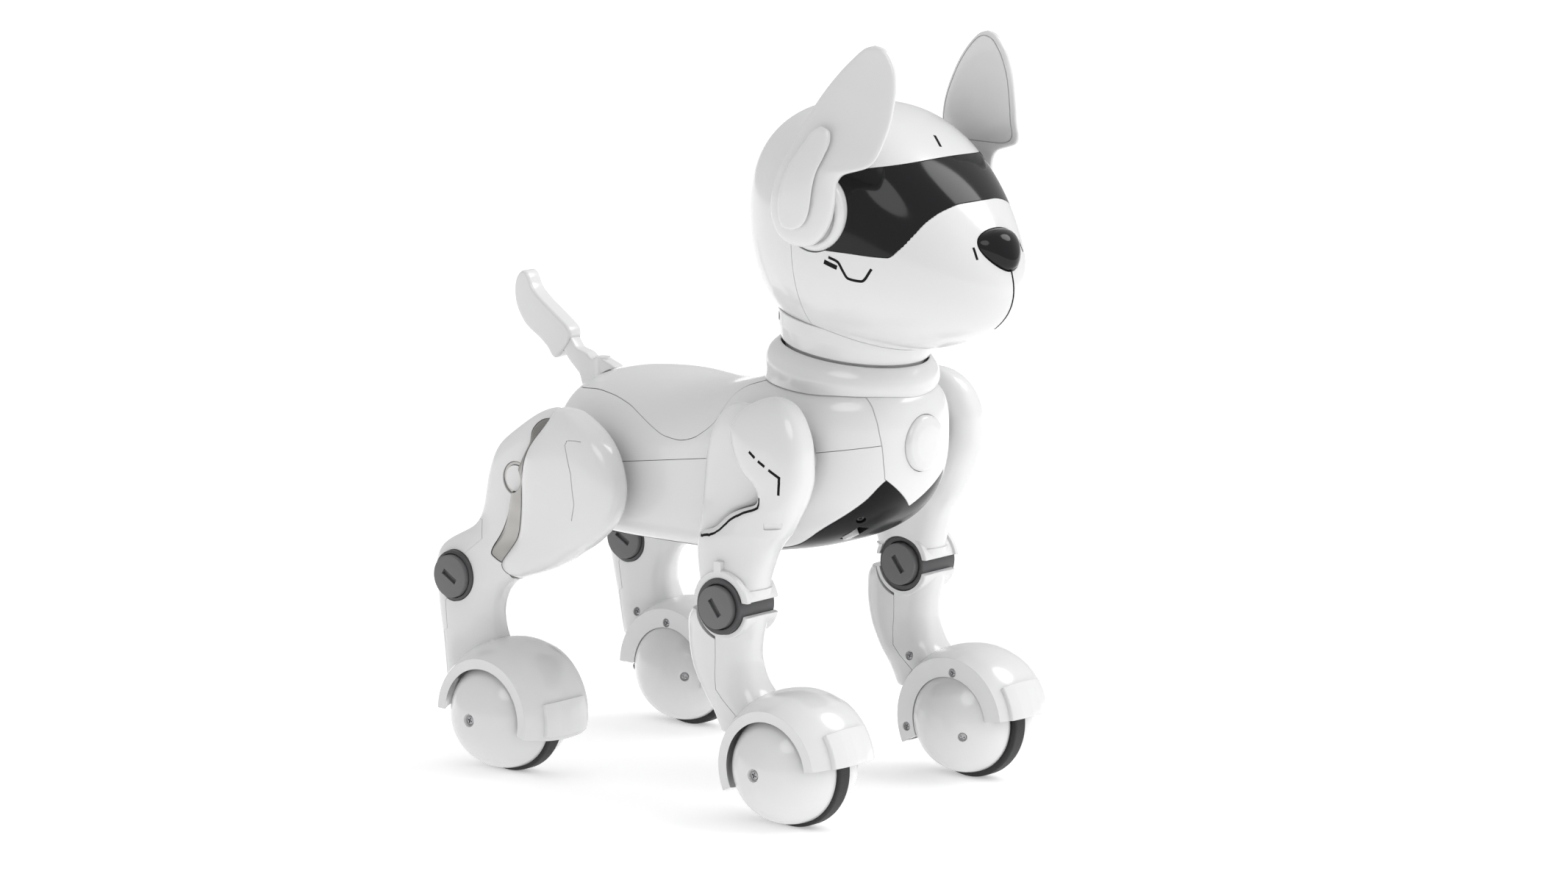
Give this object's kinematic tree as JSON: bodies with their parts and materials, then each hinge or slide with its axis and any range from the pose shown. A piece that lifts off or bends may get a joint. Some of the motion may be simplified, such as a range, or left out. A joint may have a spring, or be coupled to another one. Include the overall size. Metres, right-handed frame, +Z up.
{
  "type": "robot dog toy",
  "caption": "Robot dog toy on wheels in rounded shell panels, with a visor face, upright ears, a turning head, jointed legs and a tail.",
  "frame": {"origin": "on the floor under the middle of the toy's box", "axes": "+Z up, the longest extent; the dog looks along -Y; +X is its left side, across its width"},
  "size_m": [0.154, 0.2449, 0.2864],
  "materials": {
    "white_shell": "gloss",
    "black_shell": "high gloss",
    "grey_plastic": "satin",
    "tyre": "matt",
    "metal_trim": "brushed",
    "steel": "satin",
    "circuit_board": "satin",
    "battery_wrap": "gloss"
  },
  "bodies": {
    "torso": {"torso_upper_shell": "white_shell", "torso_lower_shell": "white_shell", "saddle_cover": "white_shell", "belly_pan": "black_shell", "chest_plate": "white_shell", "neck_collar": "white_shell", "battery_door": "black_shell", "battery_pack": "battery_wrap", "main_board": "circuit_board", "speaker": "grey_plastic", "shoulder_axle": "steel", "hip_axle": "steel"},
    "button": {"chest_button": "white_shell"},
    "switch": {"power_switch": "grey_plastic"},
    "head": {"face_shell": "white_shell", "head_rear_shell": "white_shell", "visor": "black_shell", "nose": "black_shell", "head_base_ring": "white_shell", "eye_led_board": "circuit_board", "right_ear_pod": "white_shell", "left_ear_pod": "white_shell"},
    "tail": {"tail_link": "white_shell", "tail_paddle": "white_shell"},
    "right_ear": {"right_ear": "white_shell", "right_ear_cap": "white_shell"},
    "right_upper_arm": {"right_arm_cover": "white_shell", "right_arm_back": "white_shell", "right_elbow_pivot": "grey_plastic"},
    "right_forearm": {"right_forearm": "white_shell", "right_forearm_back": "white_shell", "right_front_motor_cover": "white_shell"},
    "right_front_wheel": {"right_front_tyre": "tyre", "right_front_wheel_dome": "white_shell"},
    "right_rear_leg": {"right_thigh_cover": "white_shell", "right_thigh_trim": "metal_trim", "right_leg_shell": "white_shell", "right_leg_spine": "white_shell", "right_hock_cap": "grey_plastic", "right_rear_motor_cover": "white_shell"},
    "right_rear_wheel": {"right_rear_tyre": "tyre", "right_rear_wheel_dome": "white_shell"},
    "left_ear": {"left_ear": "white_shell", "left_ear_cap": "white_shell"},
    "left_upper_arm": {"left_arm_cover": "white_shell", "left_arm_back": "white_shell", "left_elbow_pivot": "grey_plastic"},
    "left_forearm": {"left_forearm": "white_shell", "left_forearm_back": "white_shell", "left_front_motor_cover": "white_shell"},
    "left_front_wheel": {"left_front_tyre": "tyre", "left_front_wheel_dome": "white_shell"},
    "left_rear_leg": {"left_thigh_cover": "white_shell", "left_thigh_trim": "metal_trim", "left_leg_shell": "white_shell", "left_leg_spine": "white_shell", "left_hock_cap": "grey_plastic", "left_rear_motor_cover": "white_shell"},
    "left_rear_wheel": {"left_rear_tyre": "tyre", "left_rear_wheel_dome": "white_shell"}
  },
  "joints": [
    {"name": "button_press", "type": "slide", "parent": "torso", "child": "button", "axis": [0, 1, 0], "range_m": [0, 0.0012], "stiffness_N_per_m": 400},
    {"name": "switch_slide", "type": "slide", "parent": "torso", "child": "switch", "axis": [0, -0.8829, 0.4695], "range_m": [0, 0.003]},
    {"name": "neck_turn", "type": "hinge", "parent": "torso", "child": "head", "pos_m": [0, -0.0459, 0.158], "axis": [0, -0.1564, 0.9877], "range_deg": [-35, 35]},
    {"name": "tail_wag", "type": "hinge", "parent": "torso", "child": "tail", "pos_m": [0, 0.0771, 0.15], "axis": [0, 0, 1], "range_deg": [-20, 20]},
    {"name": "right_ear_tilt", "type": "hinge", "parent": "head", "child": "right_ear", "pos_m": [-0.046, -0.0619, 0.225], "axis": [1, 0, 0], "range_deg": [-15, 15]},
    {"name": "right_shoulder", "type": "hinge", "parent": "torso", "child": "right_upper_arm", "pos_m": [-0.05, -0.0499, 0.1343], "axis": [1, 0, 0], "range_deg": [-12, 12]},
    {"name": "right_elbow", "type": "hinge", "parent": "right_upper_arm", "child": "right_forearm", "pos_m": [-0.052, -0.0349, 0.0795], "axis": [1, 0, 0], "range_deg": [-12, 12]},
    {"name": "right_front_roll", "type": "hinge", "parent": "right_forearm", "child": "right_front_wheel", "pos_m": [-0.052, -0.0631, 0.023], "axis": [1, 0, 0], "continuous": true},
    {"name": "right_hip", "type": "hinge", "parent": "torso", "child": "right_rear_leg", "pos_m": [-0.05, 0.0531, 0.1193], "axis": [1, 0, 0], "range_deg": [-12, 12]},
    {"name": "right_rear_roll", "type": "hinge", "parent": "right_rear_leg", "child": "right_rear_wheel", "pos_m": [-0.052, 0.0773, 0.023], "axis": [1, 0, 0], "continuous": true},
    {"name": "left_ear_tilt", "type": "hinge", "parent": "head", "child": "left_ear", "pos_m": [0.046, -0.0619, 0.225], "axis": [1, 0, 0], "range_deg": [-15, 15]},
    {"name": "left_shoulder", "type": "hinge", "parent": "torso", "child": "left_upper_arm", "pos_m": [0.05, -0.0499, 0.1343], "axis": [1, 0, 0], "range_deg": [-12, 12]},
    {"name": "left_elbow", "type": "hinge", "parent": "left_upper_arm", "child": "left_forearm", "pos_m": [0.052, -0.0349, 0.0795], "axis": [1, 0, 0], "range_deg": [-12, 12]},
    {"name": "left_front_roll", "type": "hinge", "parent": "left_forearm", "child": "left_front_wheel", "pos_m": [0.052, -0.0631, 0.023], "axis": [1, 0, 0], "continuous": true},
    {"name": "left_hip", "type": "hinge", "parent": "torso", "child": "left_rear_leg", "pos_m": [0.05, 0.0531, 0.1193], "axis": [1, 0, 0], "range_deg": [-12, 12]},
    {"name": "left_rear_roll", "type": "hinge", "parent": "left_rear_leg", "child": "left_rear_wheel", "pos_m": [0.052, 0.0773, 0.023], "axis": [1, 0, 0], "continuous": true}
  ]
}
